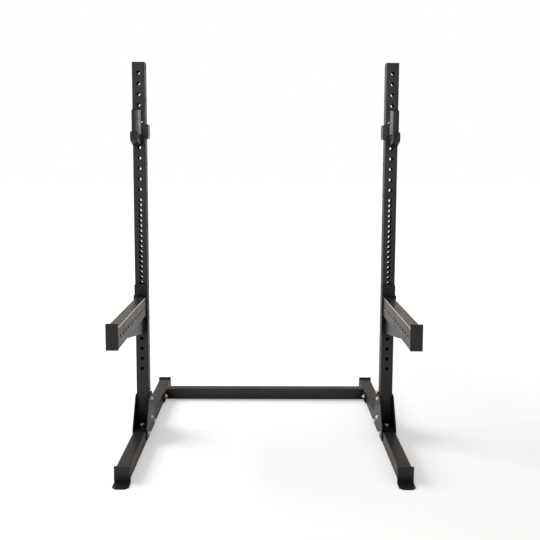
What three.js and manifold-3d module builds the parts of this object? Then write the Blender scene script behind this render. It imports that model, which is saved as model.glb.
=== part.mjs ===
// Squat stand: two drilled uprights on long feet, a low rear cross member, a pair of lift-off J-cups
// and a pair of lift-off spotter arms. Millimetres, +Z up, the front of the stand faces -Y.
// The origin is on the floor at the middle of the stand's footprint; the pieces are placed from the
// uprights' centre plane, and the whole group is moved at the end.
import * as THREE from "three";
import { mergeVertices } from "three/addons/utils/BufferGeometryUtils.js";
import Module from "manifold-3d";

// Whole stand
const standHeight = 1825;
const uprightSpacing = 1200; // centre to centre
const coatGap = 0.2; // two coats of powder between faces that are bolted or welded together
const cutOverrun = 4; // how far a cutter passes the face it cuts
const boreSides = 8; // facets of a drilled hole
const rodSides = 12; // facets of a peg

// Square tube of the uprights, feet and cross member
const tubeSide = 60;
const tubeWall = 3;
const tubeCorner = 5; // outside corner radius

// Drilled holes of the uprights, as distances below the top
const pegBore = 17;
const firstFrontHole = 50;
const coarsePitch = 50;
const finePitch = 25;
const upperCoarseCount = 13;
const fineCount = 17;
const lowerCoarseCount = 8;
const firstSideHole = 25;
const sidePitch = 150;
const sideCount = 10;

// Plug in the top of each upright
const plugFlange = 3;
const plugDepth = 11;
const plugWall = 2.5;
const plugPlay = 0.4; // between the plug's skirt and the tube's inside

// Feet
const footLift = 8; // underside of the foot tube above the floor
const footFrontReach = 542; // centre plane of the uprights to the front end face
const footRearReach = 722;

// End brackets of the feet: an upright plate with a drilled floor tab
const endThickness = 6;
const endWidth = 70;
const endHeight = 76;
const endTabLength = 55;
const endTabChamfer = 15;
const endTabBore = 9;
const endBendRadius = 3;

// Base plate under each upright
const baseThickness = 6;
const baseLength = 240;
const baseCorner = 6;
const baseBoltReach = 56; // bolt centre in front of and behind the upright's centre

// Gusset plates on both sides of each upright
const gussetThickness = 5;
const gussetTop = 217; // heights above the floor
const gussetShoulder = 80;
const gussetBottom = 20;
const gussetTopHalf = 37;
const gussetFootHalf = 125;
const gussetCorner = 9;
const gussetUpperBolt = 190;
const gussetMiddleBolt = 95;
const gussetLowerBolt = 45;
const gussetLowerReach = 85;

// Cross member and its flanges
const crossEndDistance = 172; // the cross member's centre in front of the feet's rear end faces
const crossFlangeThickness = 6;
const crossFlangeLength = 200;
const crossFlangeHeight = 56;
const crossFlangeCorner = 8;
const crossBoltReach = 63; // bolt centre in front of and behind the cross member's centre

// Bolts of the frame
const boltDiameter = 10;
const boltBore = 11;
const boltSides = 8;
const hexSides = 6;
const hexAcross = 17; // across the flats of heads and nuts
const headHeight = 6.4;
const nutHeight = 8;
const boltTail = 3; // thread past the nut

// Pegs of the cups and arms
const pegDiameter = 16;
const pegReach = 40; // past the upright's front face
const pegChamfer = 3;

// J-cups
const cupSkippedCount = 4; // front holes above the one that takes the cup's peg
const cupSideSkippedCount = 2; // side holes above the one that the flange lies over
const cupPlateWidth = 62;
const cupPlateShift = 2; // the plate's centre outward of the upright's
const cupPlateThickness = 6;
const cupPlateAbovePeg = 29;
const cupPlateBelowPeg = 138;
const cupPlateCorner = 5;
const cupFlangeHeight = 68;
const cupFlangeChamfer = 12;
const cupBendRadius = 2;
const cupPadThickness = 6;
const cupPadMargin = 4; // the pad's edge inside the flange's edge
const cupSidePlay = 0.6; // between the pad and the upright's side

const hookWidth = 33;
const hookShift = 3.5; // the hook's centre outward of the upright's
const hookRootDepth = 39; // how far the flat underside runs out from the plate
const hookReach = 112; // the furthest point of the front from the plate
const hookBulgeDrop = 110; // that point below the peg
const hookBottomDrop = 136;
const hookSeatDrop = 105; // steel floor below the peg
const lipReach = 108; // front of the lip's top
const lipDrop = 78; // the lip's top below the peg
const lipThickness = 6;
const lipCorner = 6;
const hookSkin = 5; // strap round the front and underside
const hookCheek = 4; // side plates

const linerSeat = 8; // plastic over the steel floor where the bar lies
const linerEdge = 4; // plastic at the edges of the back strip
const linerCrown = 9; // plastic at the middle of the back strip
const linerLip = 5; // plastic inside the lip
const linerAbovePeg = 26;
const linerLipDrop = 84; // top of the plastic inside the lip
const linerBackRise = 22; // how far the seat's curve climbs at the back
const linerCorner = 3;

// Spotter arms
const armFineSkippedCount = 16; // fine holes above the one that takes the upper peg
const armPegStepCount = 4; // front holes from the upper peg down to the lower one
const armPlateWidth = 64;
const armPlateThickness = 6;
const armPlateAbovePeg = 18;
const armPlateBelowPeg = 32; // past the lower peg
const armPlateCorner = 4;
const armFlangeHeight = 100;
const armFlangeDrop = 88; // centre of the flange and of the arm below the upper peg
const armFlangeChamfer = 12;
const armBendRadius = 3;
const armSidePlay = 3; // between the flange and the upright's side

const armTubeWidth = 50;
const armTubeHeight = 90;
const armTubeWall = 3;
const armTubeCorner = 4;
const armReach = 660; // front of the upright to the front of the end plate
const armHoleBore = 17;
const armFirstHole = 65; // from the front of the upright
const armHolePitch = 54.5;
const armHoleMargin = 40; // least distance from the last hole's centre to the arm's end

const armEndThickness = 6;
const armEndHeight = 108;
const armEndRise = 16; // the end plate above the arm's top
const armEndCorner = 3;

const armGussetThickness = 6;
const armGussetDepth = 90; // under the arm at the upright
const armGussetLength = 445;
const armGussetNose = 6;
const armGussetShift = 10; // inward of the arm's centre

const wasm = await Module();
wasm.setup();

const unitX = new THREE.Vector3(1, 0, 0);
const unitY = new THREE.Vector3(0, 1, 0);
const unitZ = new THREE.Vector3(0, 0, 1);

// Turns of an extrusion: a profile drawn in (Y, Z) runs along X, one drawn in (X, Z) runs along Y.
const profileAlongX = new THREE.Matrix4().makeBasis(unitY, unitZ, unitX);
const profileAlongY = new THREE.Matrix4().makeBasis(unitX, unitZ, unitY.clone().negate());

// Turns of a cylinder, whose own axis is Y.
const cylinderAlongX = new THREE.Matrix4().makeBasis(unitY, unitX, unitZ.clone().negate());
const cylinderAlongZ = new THREE.Matrix4().makeBasis(unitY, unitZ, unitX);

const finishes = {
  frameBlack: { color: 0x2e2e33, roughness: 0.42, metalness: 0.25 },
  armBlack: { color: 0x37363a, roughness: 0.35, metalness: 0.3 },
  zinc: { color: 0xc3c6c9, roughness: 0.3, metalness: 0.9 },
  plugBlack: { color: 0x1b1b1d, roughness: 0.6, metalness: 0 },
  linerGrey: { color: 0x55545a, roughness: 0.3, metalness: 0 },
};

// A closed three.js geometry as a solid that can be joined and cut.
function toSolid(geometry) {
  const bare = geometry.clone();
  bare.deleteAttribute("normal");
  bare.deleteAttribute("uv");
  const merged = mergeVertices(bare);
  return new wasm.Manifold(
    new wasm.Mesh({
      numProp: 3,
      vertProperties: merged.attributes.position.array,
      triVerts: new Uint32Array(merged.index.array),
    }),
  );
}

function toGeometry(solid) {
  const { vertProperties, triVerts } = solid.getMesh();
  const geometry = new THREE.BufferGeometry();
  geometry.setAttribute("position", new THREE.BufferAttribute(vertProperties, 3));
  geometry.setIndex(new THREE.BufferAttribute(triVerts, 1));
  geometry.computeVertexNormals();
  return geometry;
}

function joined(geometries) {
  const solids = geometries.map(toSolid);
  return toGeometry(solids.reduce((sum, solid) => sum.add(solid)));
}

function cutBy(geometry, cutters) {
  const solids = cutters.map(toSolid);
  return toGeometry(solids.reduce((rest, cutter) => rest.subtract(cutter), toSolid(geometry)));
}

function common(first, second) {
  return toGeometry(toSolid(first).intersect(toSolid(second)));
}

// An extrusion centred on its own depth.
function extruded(shape, depth, curveSegments = 1) {
  const geometry = new THREE.ExtrudeGeometry(shape, { depth, bevelEnabled: false, curveSegments });
  return geometry.translate(0, 0, -depth / 2);
}

function roundedRectangle(width, height, radius, Kind = THREE.Shape) {
  const x = width / 2 - radius;
  const y = height / 2 - radius;
  const outline = new Kind();
  outline.absarc(x, y, radius, 0, Math.PI / 2);
  outline.absarc(-x, y, radius, Math.PI / 2, Math.PI);
  outline.absarc(-x, -y, radius, Math.PI, 1.5 * Math.PI);
  outline.absarc(x, -y, radius, 1.5 * Math.PI, 2 * Math.PI);
  return outline;
}

// A polygon whose corners are eased by a curve that starts the given distance before each corner.
function easedPolygon(points, easing) {
  const outline = new THREE.Shape();
  points.forEach(([x, y], index) => {
    const corner = new THREE.Vector2(x, y);
    const before = new THREE.Vector2(...points.at(index - 1));
    const after = new THREE.Vector2(...points[(index + 1) % points.length]);
    const entry = corner.clone().add(before.sub(corner).setLength(easing));
    const exit = corner.clone().add(after.sub(corner).setLength(easing));
    if (index === 0) outline.moveTo(entry.x, entry.y);
    else outline.lineTo(entry.x, entry.y);
    outline.quadraticCurveTo(corner.x, corner.y, exit.x, exit.y);
  });
  outline.closePath();
  return outline;
}

function polygon(points) {
  return new THREE.Shape(points.map(([x, y]) => new THREE.Vector2(x, y)));
}

// A hollow rectangular tube along local Z, centred.
function hollowTube(width, height, wall, corner, length) {
  const section = roundedRectangle(width, height, corner);
  section.holes.push(
    roundedRectangle(width - 2 * wall, height - 2 * wall, corner - wall / 2, THREE.Path),
  );
  return extruded(section, length);
}

// A drill whose facets lie outside the drilled circle, so that a round rod clears them.
function drill(diameter, length, turn = new THREE.Matrix4()) {
  const radius = diameter / 2 / Math.cos(Math.PI / boreSides);
  const cutter = new THREE.CylinderGeometry(radius, radius, length, boreSides);
  return cutter.rotateY(Math.PI / boreSides).applyMatrix4(turn);
}

// A hex bolt along local Y with its nut: the head's underside at 0, the shank towards -Y.
function hexBolt(grip) {
  const hexRadius = hexAcross / 2 / Math.cos(Math.PI / hexSides);
  const shankTop = headHeight / 2;
  const shankLength = shankTop + grip + nutHeight + boltTail;
  const head = new THREE.CylinderGeometry(hexRadius, hexRadius, headHeight, hexSides);
  const nut = new THREE.CylinderGeometry(hexRadius, hexRadius, nutHeight, hexSides);
  const shank = new THREE.CylinderGeometry(
    boltDiameter / 2,
    boltDiameter / 2,
    shankLength,
    boltSides,
  );
  head.translate(0, headHeight / 2, 0);
  nut.translate(0, -grip - nutHeight / 2, 0);
  shank.translate(0, shankTop - shankLength / 2, 0);
  return joined([head, shank, nut]);
}

// A round peg along +Y with a chamfered tip.
function peg() {
  const radius = pegDiameter / 2;
  const profile = [
    new THREE.Vector2(0, 0),
    new THREE.Vector2(radius, 0),
    new THREE.Vector2(radius, pegReach - pegChamfer),
    new THREE.Vector2(radius - pegChamfer, pegReach),
    new THREE.Vector2(0, pegReach),
  ];
  return new THREE.LatheGeometry(profile, rodSides);
}

// A plate in the (X, Z) plane that bends back along one side of the upright. The plate's rear face
// is at y = 0 and its front at -thickness; the bend is towards -X, and z = 0 is mid-height.
function sideWing(flangeInner, rootX, thickness, bendRadius, reach, height, chamfer) {
  const outerRadius = bendRadius + thickness;
  const bendX = flangeInner + bendRadius;
  const plan = new THREE.Shape();
  plan.moveTo(rootX, 0);
  plan.absarc(bendX, bendRadius, bendRadius, 1.5 * Math.PI, Math.PI, true);
  plan.lineTo(flangeInner, reach);
  plan.lineTo(flangeInner - thickness, reach);
  plan.absarc(bendX, bendRadius, outerRadius, Math.PI, 1.5 * Math.PI);
  plan.lineTo(rootX, -thickness);
  plan.closePath();
  const half = height / 2;
  const side = polygon([
    [-thickness - cutOverrun, -half],
    [reach - chamfer, -half],
    [reach, -half + chamfer],
    [reach, half - chamfer],
    [reach - chamfer, half],
    [-thickness - cutOverrun, half],
  ]);
  const span = 2 * (rootX - flangeInner + outerRadius);
  const band = extruded(side, span).applyMatrix4(profileAlongX);
  return common(extruded(plan, height + cutOverrun), band.translate(rootX, 0, 0));
}

// Heights above the floor of the holes in the front and back of an upright, from the top down
function frontHoleHeights() {
  const rows = [
    { count: upperCoarseCount, pitch: coarsePitch },
    { count: fineCount, pitch: finePitch },
    { count: lowerCoarseCount, pitch: coarsePitch },
  ];
  const heights = [];
  let height = standHeight - firstFrontHole + coarsePitch;
  for (const { count, pitch } of rows) {
    for (let index = 0; index < count; index += 1) {
      height -= pitch;
      heights.push(height);
    }
  }
  return heights;
}

const frontHoles = frontHoleHeights();
const sideHoles = Array.from(
  { length: sideCount },
  (_, index) => standHeight - firstSideHole - index * sidePitch,
);

// Levels and places that follow from the sizes above
const footTop = footLift + tubeSide;
const baseLevel = footTop + coatGap;
const uprightBottom = baseLevel + baseThickness + coatGap;
const uprightTop = standHeight - plugFlange - coatGap;
const gussetOuterFace = tubeSide / 2 + coatGap + gussetThickness;
const crossFlangeFace = tubeSide / 2 + coatGap + crossFlangeThickness;
const crossReach = footRearReach - crossEndDistance; // from the uprights' centre plane
const cupPegHeight = frontHoles[cupSkippedCount];
const cupFlangeLevel = sideHoles[cupSideSkippedCount];
const armHoleIndex = upperCoarseCount + armFineSkippedCount;
const armPegHeight = frontHoles[armHoleIndex];
const armPegSpan = armPegHeight - frontHoles[armHoleIndex + armPegStepCount];
const armHoleRoom = armReach - armFirstHole - armHoleMargin;
const armHoleCount = Math.floor(armHoleRoom / armHolePitch) + 1;

function uprightGeometry() {
  const length = uprightTop - uprightBottom;
  const tube = hollowTube(tubeSide, tubeSide, tubeWall, tubeCorner, length);
  tube.translate(0, 0, length / 2);
  const through = tubeSide + 2 * cutOverrun;
  const cutters = [];
  for (const height of frontHoles) {
    cutters.push(drill(pegBore, through).translate(0, 0, height - uprightBottom));
  }
  for (const height of sideHoles) {
    cutters.push(drill(pegBore, through, cylinderAlongX).translate(0, 0, height - uprightBottom));
  }
  for (const height of [gussetUpperBolt, gussetMiddleBolt]) {
    cutters.push(drill(boltBore, through, cylinderAlongX).translate(0, 0, height - uprightBottom));
  }
  return cutBy(tube, cutters);
}

// The plug's flange has its underside at z = 0 and its skirt hangs inside the tube.
function plugGeometry() {
  const skirtSide = tubeSide - 2 * tubeWall - 2 * plugPlay;
  const skirtCorner = tubeCorner - tubeWall / 2;
  const flange = extruded(roundedRectangle(tubeSide, tubeSide, tubeCorner), plugFlange);
  flange.translate(0, 0, plugFlange / 2);
  const skirtHeight = plugDepth + plugFlange / 2;
  const skirt = hollowTube(skirtSide, skirtSide, plugWall, skirtCorner, skirtHeight);
  skirt.translate(0, 0, plugFlange / 2 - skirtHeight / 2);
  return joined([flange, skirt]);
}

const footFrontEnd = -footFrontReach + endThickness + coatGap;
const footRearEnd = footRearReach - endThickness - coatGap;

// The foot tube lies along Y with its centre line at z = 0.
function footGeometry() {
  const length = footRearEnd - footFrontEnd;
  const tube = hollowTube(tubeSide, tubeSide, tubeWall, tubeCorner, length);
  tube.applyMatrix4(profileAlongY).translate(0, (footRearEnd + footFrontEnd) / 2, 0);
  const through = tubeSide + 2 * cutOverrun;
  const centreHeight = footLift + tubeSide / 2;
  const cutters = [];
  for (const reach of [-gussetLowerReach, gussetLowerReach]) {
    const hole = drill(boltBore, through, cylinderAlongX);
    cutters.push(hole.translate(0, reach, gussetLowerBolt - centreHeight));
  }
  for (const reach of [-crossBoltReach, crossBoltReach]) {
    cutters.push(drill(boltBore, through, cylinderAlongX).translate(0, crossReach + reach, 0));
  }
  for (const reach of [-baseBoltReach, baseBoltReach]) {
    const hole = drill(boltBore, 2 * tubeWall + cutOverrun, cylinderAlongZ);
    cutters.push(hole.translate(0, reach, tubeSide / 2));
  }
  return cutBy(tube, cutters);
}

// One bent plate: its rear face is at y = 0 and its floor tab points towards -Y.
function endBracketGeometry() {
  const bend = endBendRadius + endThickness;
  const tip = -endThickness - endTabLength;
  const profile = new THREE.Shape();
  profile.moveTo(0, endHeight);
  profile.lineTo(-endThickness, endHeight);
  profile.absarc(-bend, bend, endBendRadius, 0, -Math.PI / 2, true);
  profile.lineTo(tip, endThickness);
  profile.lineTo(tip, 0);
  profile.absarc(-bend, bend, bend, -Math.PI / 2, 0);
  profile.closePath();
  const bent = extruded(profile, endWidth + cutOverrun).applyMatrix4(profileAlongX);
  const half = endWidth / 2;
  const plan = polygon([
    [half, cutOverrun],
    [-half, cutOverrun],
    [-half, tip + endTabChamfer],
    [-half + endTabChamfer, tip],
    [half - endTabChamfer, tip],
    [half, tip + endTabChamfer],
  ]);
  const trimmed = common(bent, extruded(plan, 2 * endHeight + cutOverrun));
  const hole = drill(endTabBore, 2 * endThickness + cutOverrun, cylinderAlongZ);
  return cutBy(trimmed, [hole.translate(0, -endThickness - endTabLength / 2, 0)]);
}

// The base plate lies in the (X, Y) plane with its underside at z = 0.
function basePlateGeometry() {
  const plate = extruded(roundedRectangle(tubeSide, baseLength, baseCorner), baseThickness);
  plate.translate(0, 0, baseThickness / 2);
  const cutters = [-baseBoltReach, baseBoltReach].map((reach) =>
    drill(boltBore, 2 * baseThickness + cutOverrun, cylinderAlongZ).translate(0, reach, 0),
  );
  return cutBy(plate, cutters);
}

const gussetBolts = [
  { name: "upper", reach: 0, height: gussetUpperBolt },
  { name: "middle", reach: 0, height: gussetMiddleBolt },
  { name: "front", reach: -gussetLowerReach, height: gussetLowerBolt },
  { name: "rear", reach: gussetLowerReach, height: gussetLowerBolt },
];

// The gusset plate stands in the (Y, Z) plane, centred on x = 0.
function gussetGeometry() {
  const outline = easedPolygon(
    [
      [-gussetFootHalf, gussetBottom],
      [gussetFootHalf, gussetBottom],
      [gussetFootHalf, gussetShoulder],
      [gussetTopHalf, gussetTop],
      [-gussetTopHalf, gussetTop],
      [-gussetFootHalf, gussetShoulder],
    ],
    gussetCorner,
  );
  const plate = extruded(outline, gussetThickness, 2).applyMatrix4(profileAlongX);
  const cutters = gussetBolts.map(({ reach, height }) =>
    drill(boltBore, gussetThickness + cutOverrun, cylinderAlongX).translate(0, reach, height),
  );
  return cutBy(plate, cutters);
}

// The cross member's flange stands in the (Y, Z) plane, centred on x = 0.
function crossFlangeGeometry() {
  const outline = roundedRectangle(crossFlangeLength, crossFlangeHeight, crossFlangeCorner);
  const plate = extruded(outline, crossFlangeThickness).applyMatrix4(profileAlongX);
  const cutters = [-crossBoltReach, crossBoltReach].map((reach) =>
    drill(boltBore, crossFlangeThickness + cutOverrun, cylinderAlongX).translate(0, reach, 0),
  );
  return cutBy(plate, cutters);
}

const cupFlangeInner = -(tubeSide / 2 + cupSidePlay + cupPadThickness + coatGap);
const cupFlangeDrop = cupPegHeight - cupFlangeLevel;
const cupPlateFront = -coatGap - cupPlateThickness;
const hookBack = cupPlateFront - coatGap;

// The cup's bracket: z = 0 at the peg, y = 0 at the upright's front face, the side flange towards -X.
function cupBracketGeometry() {
  const height = cupPlateAbovePeg + cupPlateBelowPeg;
  const outline = roundedRectangle(cupPlateWidth, height, cupPlateCorner);
  const plate = extruded(outline, cupPlateThickness).applyMatrix4(profileAlongY);
  plate.translate(cupPlateShift, -coatGap - cupPlateThickness / 2, cupPlateAbovePeg - height / 2);
  const wing = sideWing(
    cupFlangeInner,
    -cupPlateWidth / 4,
    cupPlateThickness,
    cupBendRadius,
    tubeSide,
    cupFlangeHeight,
    cupFlangeChamfer,
  );
  return joined([plate, wing.translate(0, -coatGap, -cupFlangeDrop)]);
}

// The plastic pad between the side flange and the upright, in the (Y, Z) plane
function cupPadGeometry() {
  const front = cupBendRadius + cupPadMargin;
  const back = tubeSide - cupPadMargin - cupFlangeChamfer / 2;
  const height = cupFlangeHeight - 2 * cupPadMargin;
  const outline = roundedRectangle(back - front, height, cupFlangeChamfer);
  const pad = extruded(outline, cupPadThickness).applyMatrix4(profileAlongX);
  return pad.translate(0, (front + back) / 2, 0);
}

// Side outline of the hook in (Y, Z). The skin is 0 for the outside and the strap's thickness for
// the pocket inside it, which is open at the back and at the top, under the liner.
function hookOutline(skin) {
  const back = hookBack + (skin > 0 ? cutOverrun : 0);
  const floor = -hookSeatDrop + (skin > 0 ? cutOverrun : 0);
  const bottom = -hookBottomDrop + skin;
  const front = hookBack - hookReach + skin;
  const outline = new THREE.Shape();
  outline.moveTo(back, bottom);
  outline.lineTo(hookBack - hookRootDepth, bottom);
  outline.bezierCurveTo(
    hookBack - (hookRootDepth + hookReach) / 2,
    bottom,
    front,
    (bottom - hookBulgeDrop) / 2,
    front,
    -hookBulgeDrop,
  );
  if (skin > 0) {
    outline.lineTo(front, floor);
  } else {
    outline.lineTo(hookBack - lipReach, -lipDrop);
    outline.lineTo(hookBack - lipReach + lipThickness, -lipDrop);
    outline.lineTo(hookBack - lipReach + lipThickness, floor);
  }
  outline.lineTo(back, floor);
  outline.closePath();
  return outline;
}

// The steel hook: a bent strap between two cheeks, hollow under the liner
function hookGeometry() {
  const block = extruded(hookOutline(0), hookWidth, 6).applyMatrix4(profileAlongX);
  const faceHeight = 2 * hookBottomDrop;
  const face = roundedRectangle(hookWidth, faceHeight, lipCorner);
  const trim = extruded(face, 2 * hookReach + cutOverrun).applyMatrix4(profileAlongY);
  trim.translate(0, hookBack - hookReach / 2, -lipDrop - faceHeight / 2);
  const pocketWidth = hookWidth - 2 * hookCheek;
  const pocket = extruded(hookOutline(hookSkin), pocketWidth, 6).applyMatrix4(profileAlongX);
  return cutBy(common(block, trim), [pocket]);
}

// The plastic liner: a crowned strip up the bracket's front and a cradle over the hook's floor
function linerGeometry() {
  const floor = -hookSeatDrop + coatGap;
  const seat = floor + linerSeat;
  const back = hookBack;
  const lipFace = hookBack - lipReach + lipThickness + coatGap;
  const lipInner = lipFace + linerLip;
  const backInner = back - linerEdge;
  const middle = (lipInner + backInner) / 2;
  const cradle = new THREE.Shape();
  cradle.moveTo(back, floor);
  cradle.lineTo(back, seat + linerBackRise);
  cradle.lineTo(backInner, seat + linerBackRise);
  cradle.quadraticCurveTo(backInner, seat, middle, seat);
  cradle.quadraticCurveTo(lipInner, seat, lipInner, -linerLipDrop - linerCorner);
  cradle.quadraticCurveTo(lipInner, -linerLipDrop, lipInner - linerCorner, -linerLipDrop);
  cradle.lineTo(lipFace, -linerLipDrop);
  cradle.lineTo(lipFace, floor);
  cradle.closePath();
  const cradleSolid = extruded(cradle, hookWidth, 5).applyMatrix4(profileAlongX);
  const strip = new THREE.Shape();
  const half = hookWidth / 2;
  strip.moveTo(-half, back);
  strip.lineTo(-half, back - linerEdge);
  strip.quadraticCurveTo(0, back - 2 * linerCrown + linerEdge, half, back - linerEdge);
  strip.lineTo(half, back);
  strip.closePath();
  const stripHeight = linerAbovePeg - seat;
  const stripSolid = extruded(strip, stripHeight, 8).translate(0, 0, linerAbovePeg - stripHeight / 2);
  return joined([cradleSolid, stripSolid]);
}

const armFlangeInner = -(tubeSide / 2 + armSidePlay);
const armPlateFront = -coatGap - armPlateThickness;
const armTubeBack = armPlateFront - coatGap;
const armTubeFront = -armReach + armEndThickness + coatGap;

// The arm's bracket: z = 0 at the upper peg, y = 0 at the upright's front, the flange towards +X
function armBracketGeometry() {
  const height = armPlateAbovePeg + armPegSpan + armPlateBelowPeg;
  const outline = roundedRectangle(armPlateWidth, height, armPlateCorner);
  const plate = extruded(outline, armPlateThickness).applyMatrix4(profileAlongY);
  plate.translate(0, -coatGap - armPlateThickness / 2, armPlateAbovePeg - height / 2);
  const wing = sideWing(
    armFlangeInner,
    -armPlateWidth / 4,
    armPlateThickness,
    armBendRadius,
    tubeSide,
    armFlangeHeight,
    armFlangeChamfer,
  );
  const turned = wing.rotateY(Math.PI).translate(0, -coatGap, -armFlangeDrop);
  return joined([plate, turned]);
}

// The arm's tube lies along Y, centred on x = 0 and z = 0.
function armTubeGeometry() {
  const length = armTubeBack - armTubeFront;
  const tube = hollowTube(armTubeWidth, armTubeHeight, armTubeWall, armTubeCorner, length);
  tube.applyMatrix4(profileAlongY).translate(0, (armTubeBack + armTubeFront) / 2, 0);
  const through = armTubeWidth + 2 * cutOverrun;
  const cutters = Array.from({ length: armHoleCount }, (_, index) =>
    drill(armHoleBore, through, cylinderAlongX).translate(0, -armFirstHole - index * armHolePitch, 0),
  );
  return cutBy(tube, cutters);
}

function armEndGeometry() {
  const outline = roundedRectangle(armTubeWidth, armEndHeight, armEndCorner);
  return extruded(outline, armEndThickness).applyMatrix4(profileAlongY);
}

// The plate under the arm, in the (Y, Z) plane: z = 0 is its top edge and y = 0 the upright's front.
function armGussetGeometry() {
  const outline = polygon([
    [armTubeBack, 0],
    [armTubeBack - armGussetLength, 0],
    [armTubeBack - armGussetLength, -armGussetNose],
    [armTubeBack, -armGussetDepth],
  ]);
  return extruded(outline, armGussetThickness).applyMatrix4(profileAlongX);
}

const stand = new THREE.Group();
const halves = [
  { side: "left", mirror: -1 },
  { side: "right", mirror: 1 },
];

for (const half of halves) {
  half.group = new THREE.Group();
  half.group.scale.x = half.mirror;
  stand.add(half.group);
}

function namedMesh(name, geometry, finish) {
  const mesh = new THREE.Mesh(geometry, new THREE.MeshStandardMaterial(finishes[finish]));
  mesh.name = name;
  return mesh;
}

// One copy in each half. Places are given for the right half, where the inside is towards -X.
function addPair(name, geometry, finish, [x, y, z], turnZ = 0) {
  for (const { side, group } of halves) {
    const mesh = namedMesh(`${name}_${side}`, geometry, finish);
    mesh.position.set(x, y, z);
    mesh.rotation.z = turnZ;
    group.add(mesh);
  }
}

const uprightX = uprightSpacing / 2;
const footCentre = footLift + tubeSide / 2;

// Uprights with their plugs and base plates
addPair("upright", uprightGeometry(), "frameBlack", [uprightX, 0, uprightBottom]);
addPair("top_plug", plugGeometry(), "plugBlack", [uprightX, 0, standHeight - plugFlange]);
addPair("base_plate", basePlateGeometry(), "frameBlack", [uprightX, 0, baseLevel]);

// Feet and their end brackets
addPair("foot_tube", footGeometry(), "frameBlack", [uprightX, 0, footCentre]);
const endBracket = endBracketGeometry();
addPair("front_end_bracket", endBracket, "frameBlack", [uprightX, footFrontEnd - coatGap, 0]);
addPair("rear_end_bracket", endBracket, "frameBlack", [uprightX, footRearEnd + coatGap, 0], Math.PI);

// Gusset plates and the bolts through them
const gusset = gussetGeometry();
const gussetCentre = gussetOuterFace - gussetThickness / 2;
addPair("gusset_inner", gusset, "frameBlack", [uprightX - gussetCentre, 0, 0]);
addPair("gusset_outer", gusset, "frameBlack", [uprightX + gussetCentre, 0, 0]);
const gussetHead = gussetOuterFace + coatGap;
const gussetBolt = hexBolt(2 * gussetHead).applyMatrix4(cylinderAlongX).rotateZ(Math.PI);
for (const { name, reach, height } of gussetBolts) {
  const place = [uprightX - gussetHead, reach, height];
  addPair(`gusset_bolt_${name}`, gussetBolt, "zinc", place);
}

// Bolts that hold the base plate down, with captive nuts under the foot tube's top wall
const baseHead = baseLevel + baseThickness + coatGap;
const baseGrip = baseHead - footTop + tubeWall + coatGap;
const baseBolt = hexBolt(baseGrip).applyMatrix4(cylinderAlongZ);
addPair("base_bolt_front", baseBolt, "zinc", [uprightX, -baseBoltReach, baseHead]);
addPair("base_bolt_rear", baseBolt, "zinc", [uprightX, baseBoltReach, baseHead]);

// Cross member, its flanges and their bolts through the feet
const crossLength = uprightSpacing - 2 * (crossFlangeFace + coatGap);
const crossTube = hollowTube(tubeSide, tubeSide, tubeWall, tubeCorner, crossLength);
const crossMember = namedMesh("cross_member", crossTube.applyMatrix4(profileAlongX), "frameBlack");
crossMember.position.set(0, crossReach, footCentre);
stand.add(crossMember);
const crossFlangeX = uprightX - crossFlangeFace + crossFlangeThickness / 2;
addPair("cross_flange", crossFlangeGeometry(), "frameBlack", [crossFlangeX, crossReach, footCentre]);
const crossHead = crossFlangeFace + coatGap;
const crossGrip = crossHead + tubeSide / 2 + coatGap;
const crossBolt = hexBolt(crossGrip).applyMatrix4(cylinderAlongX).rotateZ(Math.PI);
for (const [name, reach] of [["front", -crossBoltReach], ["rear", crossBoltReach]]) {
  const place = [uprightX - crossHead, crossReach + reach, footCentre];
  addPair(`cross_bolt_${name}`, crossBolt, "zinc", place);
}

// J-cups
const frontFace = -tubeSide / 2;
const pegGeometry = peg();
const cupPadX = uprightX + cupFlangeInner + coatGap + cupPadThickness / 2;
addPair("cup_bracket", cupBracketGeometry(), "frameBlack", [uprightX, frontFace, cupPegHeight]);
addPair("cup_side_pad", cupPadGeometry(), "plugBlack", [cupPadX, frontFace, cupFlangeLevel]);
addPair("cup_hook", hookGeometry(), "frameBlack", [uprightX + hookShift, frontFace, cupPegHeight]);
addPair("cup_liner", linerGeometry(), "linerGrey", [uprightX + hookShift, frontFace, cupPegHeight]);
addPair("cup_peg", pegGeometry, "zinc", [uprightX, frontFace, cupPegHeight]);

// Spotter arms
const armCentre = armPegHeight - armFlangeDrop;
const armEndY = frontFace - armReach + armEndThickness / 2;
const armEndZ = armCentre + armTubeHeight / 2 + armEndRise - armEndHeight / 2;
const armGussetZ = armCentre - armTubeHeight / 2 - coatGap;
addPair("arm_bracket", armBracketGeometry(), "frameBlack", [uprightX, frontFace, armPegHeight]);
addPair("arm_tube", armTubeGeometry(), "armBlack", [uprightX, frontFace, armCentre]);
addPair("arm_end_plate", armEndGeometry(), "frameBlack", [uprightX, armEndY, armEndZ]);
const armGussetX = uprightX - armGussetShift;
addPair("arm_gusset", armGussetGeometry(), "armBlack", [armGussetX, frontFace, armGussetZ]);
addPair("arm_peg_upper", pegGeometry, "zinc", [uprightX, frontFace, armPegHeight]);
addPair("arm_peg_lower", pegGeometry, "zinc", [uprightX, frontFace, armPegHeight - armPegSpan]);

// The footprint runs from the fronts of the arms to the tips of the rear floor tabs.
const frontmost = tubeSide / 2 + armReach;
const rearmost = footRearReach + endTabLength;
stand.position.y = (frontmost - rearmost) / 2;

export default stand;
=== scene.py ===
# Squat stand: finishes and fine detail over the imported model, in its frame.
import math

import bmesh
import bpy
from mathutils import Matrix, Vector


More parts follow.
